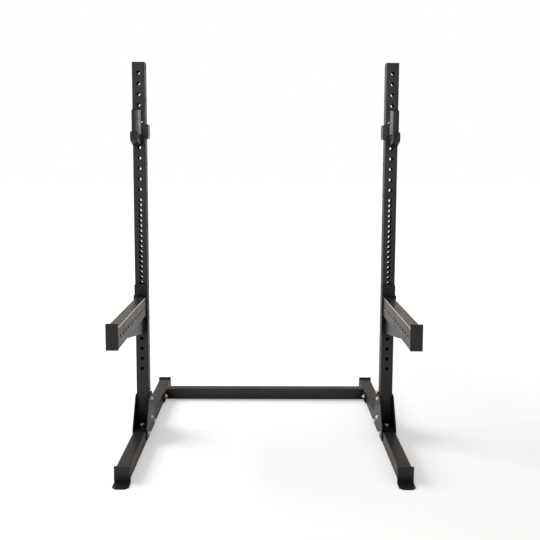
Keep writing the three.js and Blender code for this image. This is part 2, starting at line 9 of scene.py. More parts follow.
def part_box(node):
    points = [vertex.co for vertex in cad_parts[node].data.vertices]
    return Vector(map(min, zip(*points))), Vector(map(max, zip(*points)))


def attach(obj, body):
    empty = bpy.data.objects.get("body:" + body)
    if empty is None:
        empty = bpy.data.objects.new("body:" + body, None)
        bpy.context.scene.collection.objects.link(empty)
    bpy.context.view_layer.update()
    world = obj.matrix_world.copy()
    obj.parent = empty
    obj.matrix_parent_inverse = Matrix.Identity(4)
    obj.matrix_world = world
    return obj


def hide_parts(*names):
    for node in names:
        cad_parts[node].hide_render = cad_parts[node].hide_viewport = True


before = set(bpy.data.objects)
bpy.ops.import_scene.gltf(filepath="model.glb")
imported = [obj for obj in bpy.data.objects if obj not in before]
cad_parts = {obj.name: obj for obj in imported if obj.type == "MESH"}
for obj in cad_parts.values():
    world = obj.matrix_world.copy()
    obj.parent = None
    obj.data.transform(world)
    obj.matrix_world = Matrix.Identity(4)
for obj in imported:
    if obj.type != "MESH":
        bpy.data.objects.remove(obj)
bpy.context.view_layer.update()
print("frame loaded with", len(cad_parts), "nodes")

scene = bpy.context.scene
mm = 0.001
uprightLow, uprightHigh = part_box("upright_right")
uprightX = (uprightLow.x + uprightHigh.x) / 2 / mm
centrePlane = (uprightLow.y + uprightHigh.y) / 2  # the uprights' centre plane, in metres
coatGap = 0.2  # between faces that are bolted or welded together
overrun = 4.0  # how far a cutting shape stands out past what it cuts
plateEasing = 0.7  # rounding of the edges of cut plates
bentEasing = 0.8  # and of bent ones

# local axes of a shape that is drawn in (Y, Z), in (X, Z) or on end
alongX = Matrix(((0, 0, 1, 0), (1, 0, 0, 0), (0, 1, 0, 0), (0, 0, 0, 1)))
alongY = Matrix(((1, 0, 0, 0), (0, 0, -1, 0), (0, 1, 0, 0), (0, 0, 0, 1)))
headOutward = Matrix.Rotation(math.radians(90), 4, "Y")


def newFinish(name):
    material = bpy.data.materials.new(name)
    material.use_nodes = True
    return material, material.node_tree, material.node_tree.nodes["Principled BSDF"]


def addNode(tree, kind, inputs=None, **settings):
    node = tree.nodes.new(kind)
    for key, value in settings.items():
        setattr(node, key, value)
    for key, value in (inputs or {}).items():
        if isinstance(value, bpy.types.NodeSocket):
            tree.links.new(value, node.inputs[key])
        else:
            node.inputs[key].default_value = value
    return node


def noiseOf(tree, place, scale, detail=2.0, roughness=0.5):
    inputs = {"Vector": place, "Scale": scale, "Detail": detail, "Roughness": roughness}
    return addNode(tree, "ShaderNodeTexNoise", inputs).outputs["Fac"]


def rangeOf(tree, value, fromMin, fromMax, toMin, toMax):
    inputs = {"Value": value, "From Min": fromMin, "From Max": fromMax}
    inputs.update({"To Min": toMin, "To Max": toMax})
    return addNode(tree, "ShaderNodeMapRange", inputs).outputs["Result"]


def mathOf(tree, operation, first, second):
    return addNode(tree, "ShaderNodeMath", {0: first, 1: second}, operation=operation).outputs[0]


def mixColour(tree, share, first, second):
    return addNode(tree, "ShaderNodeMix", {0: share, 6: first, 7: second}, data_type="RGBA").outputs[2]


def normalPart(tree, axis):
    normal = addNode(tree, "ShaderNodeNewGeometry").outputs["Normal"]
    return addNode(tree, "ShaderNodeSeparateXYZ", {"Vector": normal}).outputs[axis]


def setGrain(tree, shader, height, strength, reach):
    bump = addNode(tree, "ShaderNodeBump", {"Height": height, "Strength": strength, "Distance": reach})
    tree.links.new(bump.outputs["Normal"], shader.inputs["Normal"])


# edge wear and a painted edge highlight: a mask that is 1 on the edges and 0 on the flats, broken up
# by noise
def edgeWearAndSheen(tree, place, width, strength):
    soft = addNode(tree, "ShaderNodeBevel", {"Radius": width}, samples=6).outputs["Normal"]
    true = addNode(tree, "ShaderNodeNewGeometry").outputs["Normal"]
    dot = addNode(tree, "ShaderNodeVectorMath", {0: soft, 1: true}, operation="DOT_PRODUCT")
    edge = rangeOf(tree, dot.outputs["Value"], 0.995, 0.88, 0.0, 1.0)  # cosines of the normal's turn
    broken = rangeOf(tree, noiseOf(tree, place, 90.0, 4.0, 0.65), 0.42, 0.62, 0.0, strength)
    return mathOf(tree, "MULTIPLY", edge, broken)


# painted shade: falls from 1 to a low share in holes and corners, where shade would fall
def paintedCreviceShade(tree, reach, low):
    shade = addNode(tree, "ShaderNodeAmbientOcclusion", {"Distance": reach}, samples=6)
    return rangeOf(tree, shade.outputs["AO"], 0.35, 0.90, low, 1.0)


# a mask on the rounded corners along the top of the arms, where use rubs the coat off
def rubbedCorner(tree, place, strength):
    across = mathOf(tree, "ABSOLUTE", normalPart(tree, "X"), 0.0)
    corner = mathOf(tree, "MULTIPLY", across, normalPart(tree, "Z"))
    corner = rangeOf(tree, corner, 0.20, 0.42, 0.0, strength)
    patchy = rangeOf(tree, noiseOf(tree, place, 60.0, 3.0), 0.25, 0.5, 0.45, 1.0)
    return mathOf(tree, "MULTIPLY", corner, patchy)


# each coat's pale edge colour stands partly for edge wear, partly for a painted edge highlight
coats = {
    "frame": {
        "colour": (0.0115, 0.0112, 0.0125, 1),
        "pale": (0.0175, 0.0165, 0.0175, 1),
        "wearAndPaintedLight": (0.11, 0.105, 0.10, 1),
        "fleck": (0.066, 0.062, 0.060, 1),
        "wearAndSheen": 0.45,
        "rubbedAndTopLit": 0.0,
        "roughness": (0.37, 0.47),
        "ior": 1.44,
        "mottle": 0.22,
        "grain": 0.10,
    },
    "bracket": {
        "colour": (0.0085, 0.0084, 0.0095, 1),
        "pale": (0.0130, 0.0125, 0.0135, 1),
        "wearAndPaintedLight": (0.13, 0.125, 0.12, 1),
        "fleck": (0.050, 0.046, 0.043, 1),
        "wearAndSheen": 0.5,
        "rubbedAndTopLit": 0.0,
        "roughness": (0.28, 0.38),
        "ior": 1.39,
        "mottle": 0.08,
        "grain": 0.025,
    },
    # painted top light: this coat puts its pale mottle mostly on upward faces, and rubs bare steel on
    # the top corners
    "arm": {
        "colour": (0.0125, 0.0120, 0.0125, 1),
        "pale": (0.0200, 0.0185, 0.0180, 1),
        "wearAndPaintedLight": (0.16, 0.15, 0.14, 1),
        "fleck": (0.122, 0.120, 0.119, 1),
        "wearAndSheen": 0.6,
        "rubbedAndTopLit": 1.0,
        "steel": (0.84, 0.87, 0.91, 1),
        "roughness": (0.27, 0.37),
        "ior": 1.30,
        "mottle": 0.60,
        "grain": 0.09,
    },
}
# shared by the coats: noise scales are counts per metre, reaches are in metres
coatTexture = {
    "cloudScale": 9.0,
    "mottleScale": 190.0,
    "mottleOnSides": 0.12,  # share of the pale mottle that upright faces keep; upward faces get all of it, a painted top light
    "fleckScale": 2600.0,
    "fleckColour": (0.05, 0.048, 0.046, 1),
    "smudgeScale": 22.0,
    "mottleGloss": 0.12,  # how much it takes off the roughness
    "bareGloss": 0.15,
    "specular": 0.5,
    "peelScale": 420.0,
    "peelHeight": 1.4,  # against the grain's
    "grainScale": 1900.0,
    "grainReach": 0.0006,
    "edgeReach": 0.0012,
    # painted shade in holes and corners: its reach, its lowest share and its near-black colour
    "shadeReach": 0.06,
    "shadeLow": 0.10,
    "shade": (0.001, 0.001, 0.001, 1),
}


def powderCoat(name, coat):
    material, tree, shader = newFinish(name)
    look = coatTexture
    place = addNode(tree, "ShaderNodeTexCoord").outputs["Object"]
    cloud = rangeOf(tree, noiseOf(tree, place, look["cloudScale"], 3.0), 0.3, 0.7, 0.0, 1.0)
    colour = mixColour(tree, cloud, coat["colour"], coat["pale"])
    mottle = noiseOf(tree, place, look["mottleScale"], 3.0, 0.75)
    mottle = rangeOf(tree, mottle, 0.48, 0.66, 0.0, coat["mottle"])
    # painted top light: the pale mottle goes mostly on upward faces, so tops read lighter than sides
    if coat["rubbedAndTopLit"]:
        wearAndPaintedLight = rangeOf(tree, normalPart(tree, "Z"), 0.3, 0.9, look["mottleOnSides"], 1.0)
        mottle = mathOf(tree, "MULTIPLY", mottle, wearAndPaintedLight)
    colour = mixColour(tree, mottle, colour, coat["fleck"])
    fleck = rangeOf(tree, noiseOf(tree, place, look["fleckScale"], 1.0), 0.66, 0.74, 0.0, 0.35)
    colour = mixColour(tree, fleck, colour, look["fleckColour"])
    edge = edgeWearAndSheen(tree, place, look["edgeReach"], coat["wearAndSheen"])
    # pale edges: partly edge wear, partly a painted edge highlight
    colour = mixColour(tree, edge, colour, coat["wearAndPaintedLight"])
    smudge = noiseOf(tree, place, look["smudgeScale"], 4.0, 0.6)
    smudge = rangeOf(tree, smudge, 0.3, 0.7, *coat["roughness"])
    smudge = mathOf(tree, "SUBTRACT", smudge, mathOf(tree, "MULTIPLY", mottle, look["mottleGloss"]))
    if coat["rubbedAndTopLit"]:
        bare = rubbedCorner(tree, place, coat["rubbedAndTopLit"])
        colour = mixColour(tree, bare, colour, coat["steel"])
        tree.links.new(bare, shader.inputs["Metallic"])
        smudge = mathOf(tree, "SUBTRACT", smudge, mathOf(tree, "MULTIPLY", bare, look["bareGloss"]))
    # painted shade: holes and corners go near black and lose their specular
    creviceShade = paintedCreviceShade(tree, look["shadeReach"], look["shadeLow"])
    tree.links.new(mixColour(tree, creviceShade, look["shade"], colour), shader.inputs["Base Color"])
    specular = mathOf(tree, "MULTIPLY", creviceShade, look["specular"])
    tree.links.new(specular, shader.inputs["Specular IOR Level"])
    tree.links.new(smudge, shader.inputs["Roughness"])
    peel = noiseOf(tree, place, look["peelScale"], 1.0)
    peel = mathOf(tree, "MULTIPLY", peel, look["peelHeight"])
    height = mathOf(tree, "ADD", peel, noiseOf(tree, place, look["grainScale"], 2.0))
    setGrain(tree, shader, height, coat["grain"], look["grainReach"])
    shader.inputs["IOR"].default_value = coat["ior"]
    return material


zinc = {
    "cool": (0.88, 0.90, 0.93, 1),
    "warm": (0.93, 0.93, 0.91, 1),
    "edge": (0.92, 0.92, 0.92, 1),
    "roughness": (0.16, 0.30),
    "metallic": 0.2,
    "cloudScale": 160.0,
    "edgeReach": 0.0006,
    "wearAndSheen": 0.5,
    "grainScale": 1400.0,
    "grainReach": 0.0004,
    "grain": 0.08,
}


def zincPlate(name):
    material, tree, shader = newFinish(name)
    place = addNode(tree, "ShaderNodeTexCoord").outputs["Object"]
    cloud = rangeOf(tree, noiseOf(tree, place, zinc["cloudScale"], 3.0), 0.3, 0.7, 0.0, 1.0)
    plated = mixColour(tree, cloud, zinc["cool"], zinc["warm"])
    edge = edgeWearAndSheen(tree, place, zinc["edgeReach"], zinc["wearAndSheen"])
    # pale edges: partly edge wear, partly a painted edge highlight
    tree.links.new(mixColour(tree, edge, plated, zinc["edge"]), shader.inputs["Base Color"])
    tree.links.new(rangeOf(tree, cloud, 0.0, 1.0, *zinc["roughness"]), shader.inputs["Roughness"])
    grain = noiseOf(tree, place, zinc["grainScale"])
    setGrain(tree, shader, grain, zinc["grain"], zinc["grainReach"])
    shader.inputs["Metallic"].default_value = zinc["metallic"]
    return material


plastics = {
    "plug": {
        "colour": (0.008, 0.008, 0.009, 1),
        "pale": (0.014, 0.014, 0.015, 1),
        "roughness": (0.45, 0.6),
        "grain": 0.25,
    },
    "liner": {
        "colour": (0.046, 0.046, 0.050, 1),
        "pale": (0.066, 0.065, 0.070, 1),
        "roughness": (0.15, 0.24),
        "grain": 0.015,
    },
}
plasticTexture = {
    "cloudScale": 30.0,
    "edgeReach": 0.0010,
    "wearAndSheen": 0.4,
    "edge": (0.09, 0.09, 0.092, 1),
    "sparkScale": 1500.0,
    "grainReach": 0.0003,
}


def mouldedPlastic(name, plastic):
    material, tree, shader = newFinish(name)
    look = plasticTexture
    place = addNode(tree, "ShaderNodeTexCoord").outputs["Object"]
    cloud = rangeOf(tree, noiseOf(tree, place, look["cloudScale"], 4.0), 0.3, 0.7, 0.0, 1.0)
    body = mixColour(tree, cloud, plastic["colour"], plastic["pale"])
    edge = edgeWearAndSheen(tree, place, look["edgeReach"], look["wearAndSheen"])
    # pale edges: partly edge wear, partly a painted edge highlight
    tree.links.new(mixColour(tree, edge, body, look["edge"]), shader.inputs["Base Color"])
    roughness = rangeOf(tree, cloud, 0.0, 1.0, *plastic["roughness"])
    tree.links.new(roughness, shader.inputs["Roughness"])
    spark = addNode(tree, "ShaderNodeTexVoronoi", {"Vector": place, "Scale": look["sparkScale"]})
    setGrain(tree, shader, spark.outputs["Distance"], plastic["grain"], look["grainReach"])
    return material


finishes = {
    "frame_black": powderCoat("frame black powder coat", coats["frame"]),
    "arm_black": powderCoat("arm black powder coat", coats["arm"]),
    "bracket_black": powderCoat("gloss black bracket coat", coats["bracket"]),
    "zinc": zincPlate("bright zinc"),
    "plug_black": mouldedPlastic("moulded black plastic", plastics["plug"]),
    "liner_grey": mouldedPlastic("smooth grey plastic", plastics["liner"]),
}
print("finishes made:", ", ".join(finishes))


# shapes are drawn in millimetres and put in place by addPair
def arcPoints(x, y, radius, start, end, steps):
    points = []
    for step in range(steps + 1):
        angle = math.radians(start + (end - start) * step / steps)
        points.append((x + radius * math.cos(angle), y + radius * math.sin(angle)))
    return points


def roundedRectangle(width, height, radius, steps=6):
    x = width / 2 - radius
    y = height / 2 - radius
    points = []
    for turn, (sx, sy) in enumerate(((1, -1), (1, 1), (-1, 1), (-1, -1))):
        points += arcPoints(sx * x, sy * y, radius, 90 * turn - 90, 90 * turn, steps)
    return points


def curvePoints(start, first, second, end, steps):
    points = []
    for step in range(steps + 1):
        t = step / steps
        a, b, c, d = (1 - t) ** 3, 3 * t * (1 - t) ** 2, 3 * t * t * (1 - t), t ** 3
        corners = zip(start, first, second, end)
        points.append(tuple(a * p + b * q + c * r + d * s for p, q, r, s in corners))
    return points


# a curve with one control point
def bendPoints(start, control, end, steps):
    first = tuple(p + 2 / 3 * (q - p) for p, q in zip(start, control))
    second = tuple(p + 2 / 3 * (q - p) for p, q in zip(end, control))
    return curvePoints(start, first, second, end, steps)


def easedPolygon(corners, easing, steps=5):
    points = []
    for index, corner in enumerate(corners):
        here = Vector(corner)
        before = Vector(corners[index - 1])
        after = Vector(corners[(index + 1) % len(corners)])
        entry = here + (before - here).normalized() * easing
        leave = here + (after - here).normalized() * easing
        points += bendPoints(tuple(entry), corner, tuple(leave), steps)
    return points


def circlePoints(x, y, diameter, sides):
    return arcPoints(x, y, diameter / 2, 0, 360, sides)[:-1]


# one flat face from an outline and the loops of its holes
def fillLoops(shape, loops):
    if len(loops) == 1:
        shape.faces.new(loops[0])
        return
    edges = []
    for loop in loops:
        for index, corner in enumerate(loop):
            known = shape.edges.get((loop[index - 1], corner))
            edges.append(known or shape.edges.new((loop[index - 1], corner)))
    bmesh.ops.triangle_fill(shape, use_beauty=True, edges=edges)


# a plate: an outline with holes, given a depth that is centred on its plane
def slab(outline, depth, holes=()):
    shape = bmesh.new()
    sides = []
    for level in (-depth / 2, depth / 2):
        loops = []
        for points in (outline, *holes):
            loops.append([shape.verts.new((x, y, level)) for x, y in points])
        fillLoops(shape, loops)
        sides.append(loops)
    for rings in zip(*sides):
        bridgeRings(shape, rings)
    bmesh.ops.recalc_face_normals(shape, faces=shape.faces)
    return shape


def moved(shape, matrix):
    bmesh.ops.transform(shape, matrix=matrix, verts=shape.verts)
    return shape


def shifted(shape, x, y, z):
    return moved(shape, Matrix.Translation((x, y, z)))


# the same shape with its corners and faces in one fixed order, because a bevel leaves them in
# another order on each run
def settled(shape):
    corners = sorted(shape.verts, key=lambda corner: [round(value, 3) for value in corner.co])
    order = {corner: index for index, corner in enumerate(corners)}
    rows = []
    for face in shape.faces:
        row = [order[corner] for corner in face.verts]
        first = row.index(min(row))
        rows.append(row[first:] + row[:first])
    result = bmesh.new()
    points = [result.verts.new(corner.co) for corner in corners]
    for row in sorted(rows):
        result.faces.new([points[index] for index in row])
    result.normal_update()
    shape.free()
    return result


# rounds off every edge that turns by more than an angle
def eased(shape, width, segments=2, angle=38):
    limit = math.radians(angle)
    edges = []
    for edge in shape.edges:
        if len(edge.link_faces) == 2 and edge.calc_face_angle() > limit:
            edges.append(edge)
    bmesh.ops.bevel(
        shape,
        geom=edges,
        offset=width,
        offset_type="OFFSET",
        segments=segments,
        profile=0.5,
        affect="EDGES",
        clamp_overlap=True,
    )
    return settled(shape)


def combined(first, second, operation):
    pair = []
    for shape in (first, second):
        mesh = bpy.data.meshes.new("blank")
        shape.to_mesh(mesh)
        shape.free()
        blank = bpy.data.objects.new("blank", mesh)
        scene.collection.objects.link(blank)
        pair.append(blank)
    cut = pair[0].modifiers.new("cut", "BOOLEAN")
    cut.operation = operation
    cut.solver = "EXACT"
    cut.object = pair[1]
    done = pair[0].evaluated_get(bpy.context.evaluated_depsgraph_get())
    result = bmesh.new()
    result.from_mesh(done.to_mesh())
    for blank in pair:
        bpy.data.objects.remove(blank)
    bmesh.ops.remove_doubles(result, verts=result.verts, dist=0.002)
    return result


def merged(*shapes):
    result = bmesh.new()
    for shape in shapes:
        mesh = bpy.data.meshes.new("blank")
        shape.to_mesh(mesh)
        shape.free()
        result.from_mesh(mesh)
        bpy.data.meshes.remove(mesh)
    return result


def bridgeRings(shape, rings):
    for lower, upper in zip(rings, rings[1:]):
        count = len(lower)
        for index in range(count):
            after = (index + 1) % count
            shape.faces.new((lower[index], lower[after], upper[after], upper[index]))


# a skin over a row of rings, with flat ends or joined back to its start
def skinned(shape, rings, closed=False):
    if closed:
        bridgeRings(shape, rings + rings[:1])
    else:
        bridgeRings(shape, rings)
        shape.faces.new(rings[0])
        shape.faces.new(rings[-1])
    bmesh.ops.recalc_face_normals(shape, faces=shape.faces)
    return shape


# a surface of revolution about Z from (radius, height) pairs; the ends are closed
def turned(profile, sides):
    shape = bmesh.new()
    rings = []
    for radius, height in profile:
        circle = circlePoints(0, 0, 2 * radius, sides)
        rings.append([shape.verts.new((x, y, height)) for x, y in circle])
    return skinned(shape, rings)


# a rectangular tube along Z with round holes in its flats; each hole is (face, height, diameter)
def drilledTube(width, depth, wall, corner, low, high, holes, rim=0.7, sides=28):
    shape = bmesh.new()
    outside = roundedRectangle(width, depth, corner, 6)
    inside = roundedRectangle(width - 2 * wall, depth - 2 * wall, corner - wall / 2, 6)
    rings = {}
    for name, points in (("outer", outside), ("inner", inside)):
        for end, height in (("low", low), ("high", high)):
            rings[name, end] = [shape.verts.new((x, y, height)) for x, y in points]
    count = len(outside)
    flats = {6: "right", 13: "back", 20: "left", 27: "front"}  # by the place in the outline
    for index in range(count):
        after = (index + 1) % count
        for end in ("low", "high"):
            outer, inner = rings["outer", end], rings["inner", end]
            shape.faces.new((outer[index], outer[after], inner[after], inner[index]))
        loops = {}
        for name in ("outer", "inner"):
            lower, upper = rings[name, "low"], rings[name, "high"]
            loops[name] = [[lower[index], lower[after], upper[after], upper[index]]]
        near, far = Vector(outside[index]), Vector(outside[after])
        middle = (near + far) / 2
        run = (far - near).normalized()
        out = Vector((run.y, -run.x))
        for face, height, diameter in holes:
            if face != flats.get(index):
                continue
            circles = []
            radius = diameter / 2
            for spread, sink in ((rim, 0), (0.3 * rim, 0.3 * rim), (0, rim), (0, wall)):
                circle = []
                for across, up in circlePoints(0, height, 2 * (radius + spread), sides):
                    flat = middle + run * across - out * sink
                    circle.append(shape.verts.new((flat.x, flat.y, up)))
                circles.append(circle)
            bridgeRings(shape, circles)
            loops["outer"].append(circles[0])
            loops["inner"].append(circles[-1])
        for name in ("outer", "inner"):
            fillLoops(shape, loops[name])
    bmesh.ops.recalc_face_normals(shape, faces=shape.faces)
    return shape


# a square tube from a piece's own sizes
def squareTube(sizes, low, high, holes=()):
    side = sizes["side"]
    return drilledTube(side, side, sizes["wall"], sizes["corner"], low, high, holes)


# each height is drilled through two opposite flats
def throughHoles(faces, heights, diameter):
    return [(face, height, diameter) for height in heights for face in faces]


# a rippled bead along a line of points, half sunk into the corner that it fills
def weldBead(points, radius, pitch, closed, sides=8):
    line = [Vector(point) for point in points]
    if closed:
        line.append(line[0])
    rings = []
    shape = bmesh.new()
    travelled = 0.0
    for start, end in zip(line, line[1:]):
        span = (end - start).length
        steps = max(1, round(span / pitch * 4))
        ahead = (end - start).normalized()
        up = Vector((0, 0, 1)) if abs(ahead.z) < 0.9 else Vector((0, 1, 0))
        across = ahead.cross(up).normalized()
        up = across.cross(ahead)
        for step in range(steps):
            centre = start + ahead * (span * step / steps)
            run = travelled + span * step / steps
            ring = []
            for side in range(sides):
                angle = 2 * math.pi * side / sides
                lag = run + 0.9 * radius * math.cos(angle)  # ripples that curve back, a little uneven
                swell = 0.90 + 0.12 * abs(math.sin(math.pi * lag / pitch))
                swell += 0.03 * math.sin(run * 0.37) + 0.02 * math.sin(run * 1.31)
                offset = (across * math.cos(angle) + up * math.sin(angle)) * radius * swell
                ring.append(shape.verts.new(centre + offset))
            rings.append(ring)
        travelled += span
    return skinned(shape, rings, closed)


def addPiece(name, shape, finish, body, nodes=(), sharp=50):
    mesh = bpy.data.meshes.new(name)
    shape.to_mesh(mesh)
    shape.free()
    mesh.shade_smooth()
    mesh.set_sharp_from_angle(angle=math.radians(sharp))
    mesh.materials.append(finishes[finish])
    piece = bpy.data.objects.new(name, mesh)
    scene.collection.objects.link(piece)
    weighted = piece.modifiers.new("flat faces stay flat", "WEIGHTED_NORMAL")
    weighted.keep_sharp = True
    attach(piece, body)
    if nodes:
        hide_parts(*nodes)


# a piece and its mirror image; places are millimetres from the floor midway between the uprights
def addPair(name, shape, place, finish, body, node=None, sharp=50):
    world = Matrix.Translation((0, centrePlane, 0)) @ Matrix.Scale(mm, 4)
    for side, mirror in (("left", -1), ("right", 1)):
        spot = world @ Matrix.Diagonal((mirror, 1, 1, 1)) @ Matrix.Translation(place)
        twin = moved(shape.copy(), spot)
        if mirror < 0:
            bmesh.ops.reverse_faces(twin, faces=twin.faces)
        nodes = [f"{node}_{side}"] if node else []
        addPiece(f"{name}_{side}", twin, finish, body.format(side=side), nodes, sharp)
    shape.free()


upright = {
    "top": 1825.0,
    "side": 60.0,
    "wall": 3.0,
    "corner": 5.0,
    "bore": 17.0,
    "firstFront": 50.0,
    "rows": ((13, 50.0), (17, 25.0), (8, 50.0)),
    "firstSide": 25.0,
    "sideRows": (10, 150.0),
    "boltBore": 11.0,
    "boltHeights": (190.0, 95.0),
}

frontHoles = []
height = upright["top"] - upright["firstFront"] + upright["rows"][0][1]
for count, pitch in upright["rows"]:
    for index in range(count):
        height -= pitch
        frontHoles.append(height)
sideCount, sidePitch = upright["sideRows"]
sideHoles = [upright["top"] - upright["firstSide"] - index * sidePitch for index in range(sideCount)]

holes = throughHoles(("front", "back"), frontHoles, upright["bore"])
holes += throughHoles(("left", "right"), sideHoles, upright["bore"])
holes += throughHoles(("left", "right"), upright["boltHeights"], upright["boltBore"])
tube = squareTube(upright, uprightLow.z / mm, uprightHigh.z / mm, holes)
addPair("drilledUpright", tube, (uprightX, 0, 0), "frame_black", "stand", "upright")

plug = {
    "side": 60.0,
    "corner": 5.0,
    "flange": 3.0,
    "skirt": 11.0,
    "skirtSide": 53.2,
    "skirtCorner": 3.5,
    "dish": 0.8,
    "dishSide": 48.0,
    "dishCorner": 7.0,
    "gate": ((2.6, 0.0), (2.5, 0.35), (1.6, 0.5), (1.2, 0.3)),  # radius and height
}
cap = slab(roundedRectangle(plug["side"], plug["side"], plug["corner"]), plug["flange"])
shifted(cap, 0, 0, plug["flange"] / 2)
dish = roundedRectangle(plug["dishSide"], plug["dishSide"], plug["dishCorner"])
dish = shifted(slab(dish, 2 * plug["dish"]), 0, 0, plug["flange"])
cap = eased(combined(cap, dish, "DIFFERENCE"), 0.5, 3)
skirt = roundedRectangle(plug["skirtSide"], plug["skirtSide"], plug["skirtCorner"])
skirt = shifted(slab(skirt, plug["skirt"]), 0, 0, -plug["skirt"] / 2 - 0.01)
gate = shifted(turned(plug["gate"], 20), 0, 0, plug["flange"] - plug["dish"])
place = (uprightX, 0, upright["top"] - plug["flange"])
addPair("topPlug", merged(cap, skirt, gate), place, "plug_black", "stand", "top_plug")
print("uprights made with", len(frontHoles) + len(sideHoles), "holes each")

foot = {
    "side": 60.0,
    "wall": 3.0,
    "corner": 5.0,
    "lift": 8.0,
    "frontReach": 542.0,
    "rearReach": 722.0,
    "gussetBolts": (-85.0, 85.0),
    "crossReach": 550.0,
    "crossBolts": (-63.0, 63.0),
}
endPlate = {
    "thickness": 6.0,
    "width": 70.0,
    "height": 76.0,
    "tab": 55.0,
    "chamfer": 15.0,
    "bore": 9.0,
    "bend": 3.0,
}
footCentre = foot["lift"] + foot["side"] / 2
footFront = -foot["frontReach"] + endPlate["thickness"] + coatGap
footRear = foot["rearReach"] - endPlate["thickness"] - coatGap

# the tube is drawn on end, its top at the rear, then laid down with its +Y face upwards
reaches = [*foot["gussetBolts"]] + [foot["crossReach"] + reach for reach in foot["crossBolts"]]
holes = throughHoles(("left", "right"), reaches, upright["boltBore"])
tube = squareTube(foot, footFront, footRear, holes)
lay = Matrix(((1, 0, 0, 0), (0, 0, 1, 0), (0, -1, 0, 0), (0, 0, 0, 1)))
addPair("footTube", moved(tube, lay), (uprightX, 0, footCentre), "frame_black", "stand", "foot_tube")


def endBracket():
    thick, tab, bend = endPlate["thickness"], endPlate["tab"], endPlate["bend"]
    outer = bend + thick
    profile = [(0, endPlate["height"]), (-thick, endPlate["height"])]
    profile += arcPoints(-outer, outer, bend, 0, -90, 8)
    profile += [(-thick - tab, thick), (-thick - tab, 0)]
    profile += arcPoints(-outer, outer, outer, -90, 0, 12)
    bent = moved(slab(profile, endPlate["width"] + overrun), alongX)
    half, chamfer = endPlate["width"] / 2, endPlate["chamfer"]
    tip = -thick - tab
    plan = [(half, overrun), (-half, overrun), (-half, tip + chamfer), (-half + chamfer, tip)]
    plan += [(half - chamfer, tip), (half, tip + chamfer)]
    bent = combined(bent, slab(plan, 2 * endPlate["height"] + overrun), "INTERSECT")
    bore = slab(circlePoints(0, 0, endPlate["bore"], 24), 4 * thick)
    shifted(bore, 0, -thick - tab / 2, 0)
    return eased(combined(bent, bore, "DIFFERENCE"), bentEasing)


bracket = endBracket()
rear = moved(bracket.copy(), Matrix.Rotation(math.pi, 4, "Z"))
place = (uprightX, footFront - coatGap, 0)
addPair("frontEndBracket", bracket, place, "frame_black", "stand", "front_end_bracket")
place = (uprightX, footRear + coatGap, 0)
addPair("rearEndBracket", rear, place, "frame_black", "stand", "rear_end_bracket")

basePlate = {"thickness": 6.0, "length": 240.0, "corner": 6.0, "bolts": (-56.0, 56.0)}
baseLevel = foot["lift"] + foot["side"] + coatGap
outline = roundedRectangle(foot["side"], basePlate["length"], basePlate["corner"])
plate = slab(outline, basePlate["thickness"])
place = (uprightX, 0, baseLevel + basePlate["thickness"] / 2)
addPair("basePlate", eased(plate, plateEasing), place, "frame_black", "stand", "base_plate")

gusset = {
    "thickness": 5.0,
    "top": 217.0,
    "shoulder": 80.0,
    "bottom": 20.0,
    "topHalf": 37.0,
    "footHalf": 125.0,
    "corner": 9.0,
    "bolts": ((0.0, 190.0), (0.0, 95.0), (-85.0, 45.0), (85.0, 45.0)),
}
outline = easedPolygon(
    [
        (-gusset["footHalf"], gusset["bottom"]),
        (gusset["footHalf"], gusset["bottom"]),
        (gusset["footHalf"], gusset["shoulder"]),
        (gusset["topHalf"], gusset["top"]),
        (-gusset["topHalf"], gusset["top"]),
        (-gusset["footHalf"], gusset["shoulder"]),
    ],
    gusset["corner"],
)
bores = [circlePoints(reach, height, upright["boltBore"], 20) for reach, height in gusset["bolts"]]
plate = eased(moved(slab(outline, gusset["thickness"], bores), alongX), plateEasing)
gussetCentre = foot["side"] / 2 + coatGap + gusset["thickness"] / 2
for side, across, blank in (("Inner", -1, plate.copy()), ("Outer", 1, plate)):
    place = (uprightX + across * gussetCentre, 0, 0)
    addPair(f"gusset{side}", blank, place, "frame_black", "stand", f"gusset_{side.lower()}")

cross = {"flange": 6.0, "length": 200.0, "height": 56.0, "corner": 8.0}
flangeFace = foot["side"] / 2 + coatGap + cross["flange"]
outline = roundedRectangle(cross["length"], cross["height"], cross["corner"])
bores = [circlePoints(reach, 0, upright["boltBore"], 20) for reach in foot["crossBolts"]]
plate = eased(moved(slab(outline, cross["flange"], bores), alongX), plateEasing)
place = (uprightX - flangeFace + cross["flange"] / 2, foot["crossReach"], footCentre)
addPair("crossFlange", plate, place, "frame_black", "stand", "cross_flange")
crossEnd = uprightX - flangeFace - coatGap
place = Matrix.Translation((0, centrePlane + foot["crossReach"] * mm, footCentre * mm))
tube = moved(squareTube(foot, -crossEnd, crossEnd), place @ Matrix.Scale(mm, 4) @ alongX)
addPiece("crossMember", tube, "frame_black", "stand", ["cross_member"])
print("feet, plates and cross member made")

bolt = {
    "diameter": 10.0,
    "across": 17.0,
    "head": 6.4,
    "washer": 1.6,
    "washerAcross": 20.0,
    "nut": 8.0,
    "tail": 3.0,
    "pitch": 1.5,
    # radius and height: over the head's top, the washer's face and the nut's foot
    "dimple": ((4.4, -0.02), (4.3, 0.03), (3.9, 0.02)),
    "face": ((7.9, -0.4), (7.9, 0.05)),
    "collar": ((7.3, 1.7), (7.2, 0.6), (6.5, 0.0), (5.2, 0.0)),
    "collarHeight": 1.6,
}


